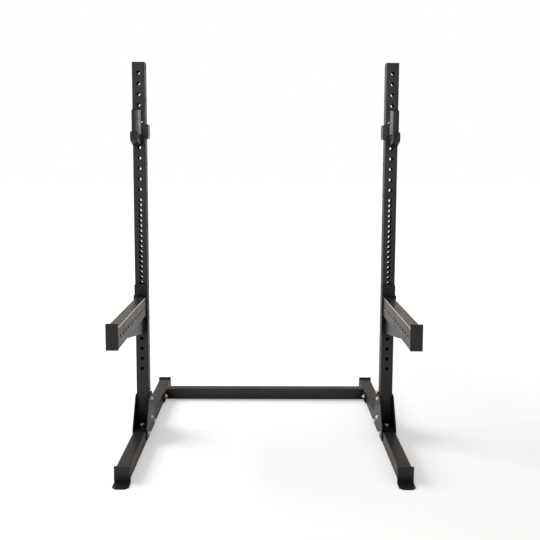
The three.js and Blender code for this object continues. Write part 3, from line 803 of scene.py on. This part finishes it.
# a hexagon with its corners turned off; the chamfer is on the upper end, and below too for a nut
def hexagon(across, low, high, both=False, steps=8):
    shape = bmesh.new()
    apothem = across / 2
    flat = 0.94 * apothem
    rings = []
    heights = []
    for index in range(6 * steps):
        angle = math.radians(60 * index / steps)
        within = math.radians((60 * index / steps) % 60 - 30)
        reach = apothem / math.cos(within)
        drop = (reach - flat) * math.tan(math.radians(30))
        heights.append((angle, reach, drop))
    levels = [("flat", high, 0), ("rim", high, -1)]
    if both:
        levels += [("rim", low, 1), ("flat", low, 0)]
    else:
        levels += [("rim", low, 0), ("flat", low, 0)]
    for kind, level, sign in levels:
        ring = []
        for angle, reach, drop in heights:
            radius = flat if kind == "flat" else reach
            spot = (radius * math.cos(angle), radius * math.sin(angle), level + sign * drop)
            ring.append(shape.verts.new(spot))
        rings.append(ring)
    return skinned(shape, rings)


# a rod from low to high whose lower end carries a thread over the given length
def threadedRod(diameter, low, high, threaded, pitch, sides=24):
    shape = bmesh.new()
    rings = []
    depth = 0.45 * pitch
    radius = diameter / 2
    steps = round(threaded / pitch * 8)
    for step in range(steps + 1):
        height = low + threaded * step / steps
        ring = []
        for side in range(sides):
            turn = side / sides
            wave = ((height - low) / pitch + turn) % 1
            cut = depth * abs(2 * wave - 1)
            lead = max(0.0, 1.2 - (height - low))
            spot = max(radius - cut - lead, radius * 0.6)
            angle = 2 * math.pi * turn
            ring.append(shape.verts.new((spot * math.cos(angle), spot * math.sin(angle), height)))
        rings.append(ring)
    rings.append([shape.verts.new((x, y, high)) for x, y in circlePoints(0, 0, diameter, sides)])
    return skinned(shape, rings)


def washer(level, direction):
    rim = bolt["washerAcross"] / 2
    thick = bolt["washer"]
    profile = [(rim - 0.25, 0.0), (rim, 0.25), (rim, thick - 0.3), (rim - 0.3, thick), (6.0, thick)]
    shape = turned([(radius, height) for radius, height in profile], 36)
    if direction < 0:
        moved(shape, Matrix.Diagonal((1, 1, -1, 1)))
        bmesh.ops.reverse_faces(shape, faces=shape.faces)
    return shifted(shape, 0, 0, level)


# the head's underside is at 0 and the shank runs down
def hexBolt(grip):
    thick = bolt["washer"]
    head = hexagon(bolt["across"], thick, bolt["head"])
    dimple = turned([(radius, bolt["head"] + height) for radius, height in bolt["dimple"]], 28)
    face = turned([(radius, thick + height) for radius, height in bolt["face"]], 28)
    nutTop = -grip - thick
    nutLow = -grip - bolt["nut"]
    nut = hexagon(bolt["across"], nutLow + bolt["collarHeight"], nutTop, both=True)
    collar = turned([(radius, nutLow + height) for radius, height in bolt["collar"]], 32)
    rod = threadedRod(
        bolt["diameter"],
        -grip - bolt["nut"] - bolt["tail"],
        thick,
        bolt["nut"] / 2 + bolt["tail"],
        bolt["pitch"],
    )
    return merged(washer(0, 1), head, dimple, face, washer(-grip, -1), nut, collar, rod)


gussetHead = foot["side"] / 2 + 2 * coatGap + gusset["thickness"]
turn = 0
for name, (reach, height) in zip(("upper", "middle", "front", "rear"), gusset["bolts"]):
    turn += 17
    shape = moved(hexBolt(2 * gussetHead), headOutward @ Matrix.Rotation(math.radians(turn), 4, "Z"))
    place = (uprightX + gussetHead, reach, height)
    addPair(f"gussetBolt_{name}", shape, place, "zinc", "stand", f"gusset_bolt_{name}", sharp=25)
crossHead = foot["side"] / 2 + coatGap
for name, reach in zip(("front", "rear"), foot["crossBolts"]):
    turn += 17
    grip = crossHead + flangeFace + coatGap
    shape = moved(hexBolt(grip), headOutward @ Matrix.Rotation(math.radians(turn), 4, "Z"))
    place = (uprightX + crossHead, foot["crossReach"] + reach, footCentre)
    addPair(f"crossBolt_{name}", shape, place, "zinc", "stand", f"cross_bolt_{name}", sharp=25)
baseHead = baseLevel + basePlate["thickness"] + coatGap
for name, reach in zip(("front", "rear"), basePlate["bolts"]):
    turn += 17
    grip = basePlate["thickness"] + foot["wall"] + 3 * coatGap
    shape = moved(hexBolt(grip), Matrix.Rotation(math.radians(turn), 4, "Z"))
    place = (uprightX, reach, baseHead)
    addPair(f"baseBolt_{name}", shape, place, "zinc", "stand", f"base_bolt_{name}", sharp=25)
print("bolts made")

cup = {
    "hole": 4,
    "sideHole": 2,
    "plateWidth": 62.0,
    "plateShift": 2.0,
    "thickness": 6.0,
    "abovePeg": 29.0,
    "belowPeg": 138.0,
    "corner": 5.0,
    "flangeHeight": 68.0,
    "flangeChamfer": 12.0,
    "bend": 2.0,
    "pad": 6.0,
    "padMargin": 4.0,
    "play": 0.6,
}
hook = {
    "width": 33.0,
    "shift": 3.5,
    "root": 39.0,
    "reach": 112.0,
    "bulgeDrop": 110.0,
    "bottomDrop": 136.0,
    "seatDrop": 105.0,
    "lipReach": 108.0,
    "lipDrop": 78.0,
    "lip": 6.0,
    "lipCorner": 6.0,
}
liner = {
    "seat": 8.0,
    "edge": 4.0,
    "shoulder": 6.6,
    "crown": 9.0,
    "lip": 5.0,
    "abovePeg": 26.0,
    "lipDrop": 84.0,
    "backRise": 22.0,
    "corner": 3.0,
}
cupPeg = frontHoles[cup["hole"]]
cupFlangeLevel = sideHoles[cup["sideHole"]]
frontFace = -upright["side"] / 2


# a plate's side wing: flat from the root, bent back along the upright, on the -X side
def sideWing(inner, root, thickness, bend, reach, height, chamfer):
    bendX = inner + bend
    plan = [(root, 0)] + arcPoints(bendX, bend, bend, 270, 180, 8)
    plan += [(inner, reach), (inner - thickness, reach)]
    plan += arcPoints(bendX, bend, bend + thickness, 180, 270, 12) + [(root, -thickness)]
    half = height / 2
    side = [(-thickness - overrun, -half), (reach - chamfer, -half), (reach, -half + chamfer)]
    side += [(reach, half - chamfer), (reach - chamfer, half), (-thickness - overrun, half)]
    band = moved(slab(side, 4 * (root - inner + bend + thickness)), alongX)
    return combined(slab(plan, height + overrun), shifted(band, root, 0, 0), "INTERSECT")


def cupBracket():
    height = cup["abovePeg"] + cup["belowPeg"]
    outline = roundedRectangle(cup["plateWidth"], height, cup["corner"])
    plate = moved(slab(outline, cup["thickness"]), alongY)
    shifted(plate, cup["plateShift"], -coatGap - cup["thickness"] / 2, cup["abovePeg"] - height / 2)
    inner = -(upright["side"] / 2 + cup["play"] + cup["pad"] + coatGap)
    wing = sideWing(
        inner,
        -cup["plateWidth"] / 4,
        cup["thickness"],
        cup["bend"],
        upright["side"],
        cup["flangeHeight"],
        cup["flangeChamfer"],
    )
    shifted(wing, 0, -coatGap, cupFlangeLevel - cupPeg)
    return eased(combined(plate, wing, "UNION"), bentEasing)


place = (uprightX, frontFace, cupPeg)
addPair("cupBracket", cupBracket(), place, "bracket_black", "{side}_cup", "cup_bracket")

padFront = cup["bend"] + cup["padMargin"]
padBack = upright["side"] - cup["padMargin"] - cup["flangeChamfer"] / 2
padHeight = cup["flangeHeight"] - 2 * cup["padMargin"]
outline = roundedRectangle(padBack - padFront, padHeight, cup["flangeChamfer"])
pad = eased(moved(slab(outline, cup["pad"]), alongX), 1.0, 3)
padX = uprightX - upright["side"] / 2 - cup["play"] - cup["pad"] / 2
place = (padX, frontFace + (padFront + padBack) / 2, cupFlangeLevel)
addPair("cupSidePad", pad, place, "plug_black", "{side}_cup", "cup_side_pad")

hookBack = -coatGap - cup["thickness"] - coatGap


def hookShape():
    front = hookBack - hook["reach"]
    lipFront = hookBack - hook["lipReach"]
    outline = [(hookBack, -hook["bottomDrop"])]
    outline += curvePoints(
        (hookBack - hook["root"], -hook["bottomDrop"]),
        (hookBack - (hook["root"] + hook["reach"]) / 2, -hook["bottomDrop"]),
        (front, -(hook["bottomDrop"] + hook["bulgeDrop"]) / 2),
        (front, -hook["bulgeDrop"]),
        16,
    )
    outline += [(lipFront, -hook["lipDrop"]), (lipFront + hook["lip"], -hook["lipDrop"])]
    outline += [(lipFront + hook["lip"], -hook["seatDrop"]), (hookBack, -hook["seatDrop"])]
    block = moved(slab(outline, hook["width"]), alongX)
    tall = 2 * hook["bottomDrop"]
    face = roundedRectangle(hook["width"], tall, hook["lipCorner"])
    trim = moved(slab(face, 2 * hook["reach"] + overrun), alongY)
    shifted(trim, 0, hookBack - hook["reach"] / 2, -hook["lipDrop"] - tall / 2)
    return eased(combined(block, trim, "INTERSECT"), 1.0, 3)


place = (uprightX + hook["shift"], frontFace, cupPeg)
addPair("cupHook", hookShape(), place, "bracket_black", "{side}_cup", "cup_hook")


def linerShape():
    floor = -hook["seatDrop"] + coatGap
    seat = floor + liner["seat"]
    lipFace = hookBack - hook["lipReach"] + hook["lip"] + coatGap
    lipInner = lipFace + liner["lip"]
    backInner = hookBack - liner["edge"]
    middle = (lipInner + backInner) / 2
    top = -liner["lipDrop"]
    corner = liner["corner"]
    back = seat + liner["backRise"]
    cradle = [(hookBack, floor), (hookBack, back), (backInner, back)]
    cradle += bendPoints((backInner, back), (backInner, seat), (middle, seat), 10)[1:]
    cradle += bendPoints((middle, seat), (lipInner, seat), (lipInner, top - corner), 10)[1:]
    cradle += bendPoints((lipInner, top - corner), (lipInner, top), (lipInner - corner, top), 5)[1:]
    cradle += [(lipFace, top), (lipFace, floor)]
    base = moved(slab(cradle, hook["width"]), alongX)
    half = hook["width"] / 2
    edge = hookBack - liner["shoulder"]
    crown = hookBack - 2 * liner["crown"] + liner["shoulder"]
    curve = bendPoints((-half, edge), (0, crown), (half, edge), 16)
    strip = [(-half, hookBack), *curve, (half, hookBack)]
    tall = liner["abovePeg"] - seat
    strip = shifted(slab(strip, tall), 0, 0, liner["abovePeg"] - tall / 2)
    return eased(combined(base, strip, "UNION"), 0.8, 3)


addPair("cupLiner", linerShape(), place, "liner_grey", "{side}_cup", "cup_liner")

peg = {"diameter": 16.0, "reach": 40.0, "chamfer": 3.0}


def pegShape():
    radius, tip, chamfer = peg["diameter"] / 2, peg["reach"], peg["chamfer"]
    profile = [(radius, 0), (radius, tip - chamfer - 0.4), (radius - 0.3, tip - chamfer + 0.2)]
    profile += [(radius - chamfer + 0.3, tip - 0.3), (radius - chamfer - 0.3, tip)]
    return moved(turned(profile, 36), Matrix.Rotation(math.radians(-90), 4, "X"))


addPair("cupPeg", pegShape(), (uprightX, frontFace, cupPeg), "zinc", "{side}_cup", "cup_peg", sharp=30)


# a button head with a hexagon socket, its underside at 0, facing +Z
def socketScrew(diameter, height, socket):
    radius = diameter / 2
    dome = [(radius, 0), (radius, 0.15 * height)]
    for step in range(1, 8):
        angle = math.radians(90 * step / 8)
        dome.append((radius * math.cos(angle) ** 0.55, height * (0.15 + 0.85 * math.sin(angle))))
    dome = [point for point in dome if point[0] > 0.72 * radius] + [(0.7 * radius, height)]
    key = slab([(socket / 2 * x, socket / 2 * y) for x, y in circlePoints(0, 0, 2, 6)], 1.4 * height)
    return combined(turned(dome, 36), shifted(key, 0, 0, height), "DIFFERENCE")


screw = {"diameter": 8.0, "height": 2.6, "socket": 4.4, "inward": 16.5, "drop": 30.0}
faceForward = Matrix.Rotation(math.radians(90), 4, "X")
place = (uprightX - screw["inward"], frontFace - coatGap - cup["thickness"], cupPeg - screw["drop"])
head = moved(socketScrew(screw["diameter"], screw["height"], screw["socket"]), faceForward)
addPair("cupLinerScrew", head, place, "zinc", "{side}_cup", sharp=30)
print("J-cups made")

arm = {
    "fineHole": 16,
    "pegStep": 4,
    "plateWidth": 64.0,
    "thickness": 6.0,
    "abovePeg": 18.0,
    "belowPeg": 32.0,
    "corner": 4.0,
    "flangeHeight": 100.0,
    "drop": 88.0,
    "chamfer": 12.0,
    "bend": 3.0,
    "play": 3.0,
    "width": 50.0,
    "height": 90.0,
    "wall": 3.0,
    "tubeCorner": 4.0,
    "reach": 660.0,
    "bore": 17.0,
    "holeRim": 1.3,
    "firstHole": 65.0,
    "pitch": 54.5,
    "holes": 11,
    "endThickness": 6.0,
    "endHeight": 108.0,
    "endRise": 16.0,
    "endCorner": 3.0,
    "gussetThickness": 6.0,
    "gussetDepth": 90.0,
    "gussetLength": 445.0,
    "gussetNose": 6.0,
    "gussetShift": 10.0,
}
armHole = upright["rows"][0][0] + arm["fineHole"]
armPeg = frontHoles[armHole]
armPegSpan = armPeg - frontHoles[armHole + arm["pegStep"]]
armCentre = armPeg - arm["drop"]
armBack = -coatGap - arm["thickness"] - coatGap
armFront = -arm["reach"] + arm["endThickness"] + coatGap


def armBracket():
    height = arm["abovePeg"] + armPegSpan + arm["belowPeg"]
    outline = roundedRectangle(arm["plateWidth"], height, arm["corner"])
    plate = moved(slab(outline, arm["thickness"]), alongY)
    shifted(plate, 0, -coatGap - arm["thickness"] / 2, arm["abovePeg"] - height / 2)
    wing = sideWing(
        -(upright["side"] / 2 + arm["play"]),
        -arm["plateWidth"] / 4,
        arm["thickness"],
        arm["bend"],
        upright["side"],
        arm["flangeHeight"],
        arm["chamfer"],
    )
    moved(wing, Matrix.Diagonal((-1, 1, 1, 1)))
    bmesh.ops.reverse_faces(wing, faces=wing.faces)
    shifted(wing, 0, -coatGap, -arm["drop"])
    return eased(combined(plate, wing, "UNION"), bentEasing)


place = (uprightX, frontFace, armPeg)
addPair("armBracket", armBracket(), place, "bracket_black", "{side}_arm", "arm_bracket")

reaches = [-arm["firstHole"] - index * arm["pitch"] for index in range(arm["holes"])]
holes = throughHoles(("left", "right"), reaches, arm["bore"])
sizes = [arm[key] for key in ("width", "height", "wall", "tubeCorner")]
tube = moved(drilledTube(*sizes, armFront, armBack, holes, arm["holeRim"]), lay)
addPair("armTube", tube, (uprightX, frontFace, armCentre), "arm_black", "{side}_arm", "arm_tube")

plate = slab(roundedRectangle(arm["width"], arm["endHeight"], arm["endCorner"]), arm["endThickness"])
plate = eased(moved(plate, alongY), plateEasing)
armEndZ = armCentre + arm["height"] / 2 + arm["endRise"] - arm["endHeight"] / 2
place = (uprightX, frontFace - arm["reach"] + arm["endThickness"] / 2, armEndZ)
addPair("armEndPlate", plate, place, "frame_black", "{side}_arm", "arm_end_plate")

outline = [
    (armBack, 0),
    (armBack - arm["gussetLength"], 0),
    (armBack - arm["gussetLength"], -arm["gussetNose"]),
    (armBack, -arm["gussetDepth"]),
]
plate = eased(moved(slab(outline, arm["gussetThickness"]), alongX), plateEasing)
armUnder = armCentre - arm["height"] / 2 - coatGap
place = (uprightX - arm["gussetShift"], frontFace, armUnder)
addPair("armGusset", plate, place, "arm_black", "{side}_arm", "arm_gusset")

for level, drop in (("Upper", 0), ("Lower", armPegSpan)):
    node = f"arm_peg_{level.lower()}"
    place = (uprightX, frontFace, armPeg - drop)
    addPair(f"armPeg{level}", pegShape(), place, "zinc", "{side}_arm", node, sharp=30)
print("spotter arms made")

weld = {"radius": 2.6, "pitch": 2.4, "inset": 4.0}


def addWeld(name, points, place, body, closed=False):
    bead = weldBead(points, weld["radius"], weld["pitch"], closed)
    addPair(name, bead, place, "frame_black", body, sharp=60)


ring = [(x, 0, z) for x, z in roundedRectangle(foot["side"], foot["side"], foot["corner"], 3)]
addWeld("footFrontWeld", ring, (uprightX, footFront, footCentre), "stand", True)
addWeld("footRearWeld", ring, (uprightX, footRear, footCentre), "stand", True)
edge = foot["side"] / 2
run = edge - weld["inset"]
for name, reach in (("baseFrontWeld", -edge), ("baseRearWeld", edge)):
    line = [(-run, reach, 0), (run, reach, 0)]
    addWeld(name, line, (uprightX, 0, uprightLow.z / mm), "stand")
run = edge - foot["corner"]
for name, reach in (("crossFrontWeld", -edge), ("crossRearWeld", edge)):
    place = (crossEnd, foot["crossReach"] + reach, footCentre)
    addWeld(name, [(0, 0, -run), (0, 0, run)], place, "stand")
ring = [(x, 0, z) for x, z in roundedRectangle(arm["width"], arm["height"], arm["tubeCorner"], 3)]
addWeld("armRootWeld", ring, (uprightX, frontFace + armBack, armCentre), "{side}_arm", True)
armEdge = arm["width"] / 2 - weld["inset"]
for name, level in (("armTipTopWeld", arm["height"] / 2), ("armTipUnderWeld", -arm["height"] / 2)):
    line = [(-armEdge, 0, level), (armEdge, 0, level)]
    addWeld(name, line, (uprightX, frontFace + armFront, armCentre), "{side}_arm")
for name, across in (("armGussetOuterWeld", 1), ("armGussetInnerWeld", -1)):
    x = across * arm["gussetThickness"] / 2
    under = -arm["gussetDepth"] + weld["inset"]
    nose = armBack - arm["gussetLength"] + weld["inset"]
    line = [(x, armBack, under), (x, armBack, 0), (x, nose, 0)]
    place = (uprightX - arm["gussetShift"], frontFace, armUnder)
    addWeld(name, line, place, "{side}_arm")
hookHalf = hook["width"] / 2
line = [
    (-hookHalf, hookBack, -hook["seatDrop"] + 2),
    (-hookHalf, hookBack, -hook["bottomDrop"]),
    (hookHalf, hookBack, -hook["bottomDrop"]),
    (hookHalf, hookBack, -hook["seatDrop"] + 2),
]
addWeld("cupHookWeld", line, (uprightX + hook["shift"], frontFace, cupPeg), "{side}_cup")
print("weld beads made")

studio = {
    "floorColour": (0.815, 0.80, 0.78, 1),
    "floorHalf": 60.0,  # metres
    "floorGlow": (0.36, 0.66),  # near the stand, and far off
    "glowInGloss": 0.08,  # share of it that gloss sees
    "glowReach": (1.4, 4.0),  # metres from the middle of the floor
    "skyDiffuse": 0.50,
    "skyGloss": (0.96, 0.30),  # what gloss sees at the horizon, and overhead
    "skyHeights": (0.02, 0.52),  # sines of the heights between which the sky darkens
    "skyFront": 0.35,  # share of it that is left towards the front
    "frontTint": (0.88, 0.95, 1.13, 1),  # in gloss the front is a little cool
    "backTint": (1.12, 0.98, 0.88, 1),  # and the back a little warm
    "window": (2.1, 0.25),  # a broad frontal light in gloss: its left and right ends
    "windowEdges": (("Y", -0.86, -0.94), ("Z", 0.32, 0.22)),  # where it fades in, along each axis
}
lamps = {
    "left softbox": {
        "power": 370.0,
        "size": (5.2, 3.8),
        "place": (-5.4, 0.8, 3.7),
        "target": (0.2, -0.1, 0.1),
        "onMatt": True,
    },
    "front strip": {
        "power": 26.0,
        "size": (2.1, 0.45),
        "place": (0.2, -4.6, 1.95),
        "target": (0, 0, 1.5),
        "onMatt": False,  # only seen in gloss
    },
}

mesh = bpy.data.meshes.new("floor")
reach = studio["floorHalf"]
corners = [(-reach, -reach, 0), (reach, -reach, 0), (reach, reach, 0), (-reach, reach, 0)]
mesh.from_pydata(corners, [], [(0, 1, 2, 3)])
floor = bpy.data.objects.new("floor", mesh)
scene.collection.objects.link(floor)
material, tree, shader = newFinish("pale floor")
tree.nodes.remove(shader)
path = addNode(tree, "ShaderNodeLightPath").outputs
diffuse = addNode(tree, "ShaderNodeBsdfDiffuse", {"Color": studio["floorColour"]})
glow = addNode(tree, "ShaderNodeEmission", {"Color": (1, 1, 1, 1)})
place = addNode(tree, "ShaderNodeTexCoord").outputs["Object"]
away = addNode(tree, "ShaderNodeVectorMath", {0: place}, operation="LENGTH").outputs["Value"]
spread = rangeOf(tree, away, *studio["glowReach"], *studio["floorGlow"])
glossy = mathOf(tree, "MULTIPLY", path["Is Glossy Ray"], studio["glowInGloss"])
shown = mathOf(tree, "MAXIMUM", path["Is Camera Ray"], path["Is Transmission Ray"])
shown = mathOf(tree, "MAXIMUM", shown, glossy)
tree.links.new(mathOf(tree, "MULTIPLY", shown, spread), glow.inputs["Strength"])
both = addNode(tree, "ShaderNodeAddShader", {0: diffuse.outputs[0], 1: glow.outputs[0]})
tree.links.new(both.outputs[0], tree.nodes["Material Output"].inputs["Surface"])
mesh.materials.append(material)

world = bpy.data.worlds.new("white studio")
scene.world = world
world.use_nodes = True
tree = world.node_tree
path = addNode(tree, "ShaderNodeLightPath").outputs
heading = addNode(tree, "ShaderNodeTexCoord").outputs["Generated"]
heading = addNode(tree, "ShaderNodeSeparateXYZ", {"Vector": heading}).outputs
overhead = rangeOf(tree, heading["Z"], *studio["skyHeights"], *studio["skyGloss"])
behind = rangeOf(tree, heading["Y"], -0.4, 0.1, studio["skyFront"], 1.0)
window = rangeOf(tree, heading["X"], -0.25, 0.25, *studio["window"])
for axis, dark, bright in studio["windowEdges"]:
    window = mathOf(tree, "MULTIPLY", window, rangeOf(tree, heading[axis], dark, bright, 0.0, 1.0))
gloss = mathOf(tree, "MAXIMUM", mathOf(tree, "MULTIPLY", overhead, behind), window)
gloss = mathOf(tree, "MULTIPLY", gloss, path["Is Glossy Ray"])
white = mathOf(tree, "MAXIMUM", path["Is Camera Ray"], path["Is Transmission Ray"])
seen = mathOf(tree, "MAXIMUM", white, gloss)
soft = mathOf(tree, "MULTIPLY", path["Is Diffuse Ray"], studio["skyDiffuse"])
toBack = rangeOf(tree, heading["Y"], -0.5, 0.5, 0.0, 1.0)
tint = mixColour(tree, toBack, studio["frontTint"], studio["backTint"])
plain = mixColour(tree, path["Is Glossy Ray"], (1, 1, 1, 1), tint)
tree.links.new(plain, tree.nodes["Background"].inputs["Color"])
tree.links.new(mathOf(tree, "MAXIMUM", seen, soft), tree.nodes["Background"].inputs["Strength"])


def aimed(place, target):
    direction = Vector(target) - Vector(place)
    return direction.to_track_quat("-Z", "Y")


for name, values in lamps.items():
    light = bpy.data.lights.new(name, "AREA")
    light.shape = "RECTANGLE"
    light.energy = values["power"]
    light.size, light.size_y = values["size"]
    lamp = bpy.data.objects.new(name, light)
    lamp.location = values["place"]
    lamp.rotation_mode = "QUATERNION"
    lamp.rotation_quaternion = aimed(values["place"], values["target"])
    lamp.visible_diffuse = values["onMatt"]
    scene.collection.objects.link(lamp)

view = {
    "place": (0.00882, -3.46157, 1.34939),
    "yaw": 0.0047,
    "pitch": 0.0997,
    "roll": 0.0036,
    "lens": 47.148,
    "shiftX": -0.00044,
    "shiftY": -0.0653,
    "film": 36.0,
    "farClip": 200.0,
}
lens = bpy.data.cameras.new("camera")
lens.lens = view["lens"]
lens.sensor_width = view["film"]
lens.shift_x = view["shiftX"]
lens.shift_y = view["shiftY"]
lens.clip_end = view["farClip"]
camera = bpy.data.objects.new("camera", lens)
scene.collection.objects.link(camera)
yaw, pitch, roll = view["yaw"], view["pitch"], view["roll"]
ahead = Vector((math.sin(yaw) * math.cos(pitch), math.cos(yaw) * math.cos(pitch), -math.sin(pitch)))
right = Vector((math.cos(yaw), -math.sin(yaw), 0))
up = right.cross(ahead)
turnedRight = right * math.cos(roll) + up * math.sin(roll)
turnedUp = up * math.cos(roll) - right * math.sin(roll)
axes = Matrix((turnedRight, turnedUp, -ahead)).transposed().to_4x4()
camera.matrix_world = Matrix.Translation(view["place"]) @ axes
scene.camera = camera
scene.view_settings.view_transform = "Standard"
print("studio made")
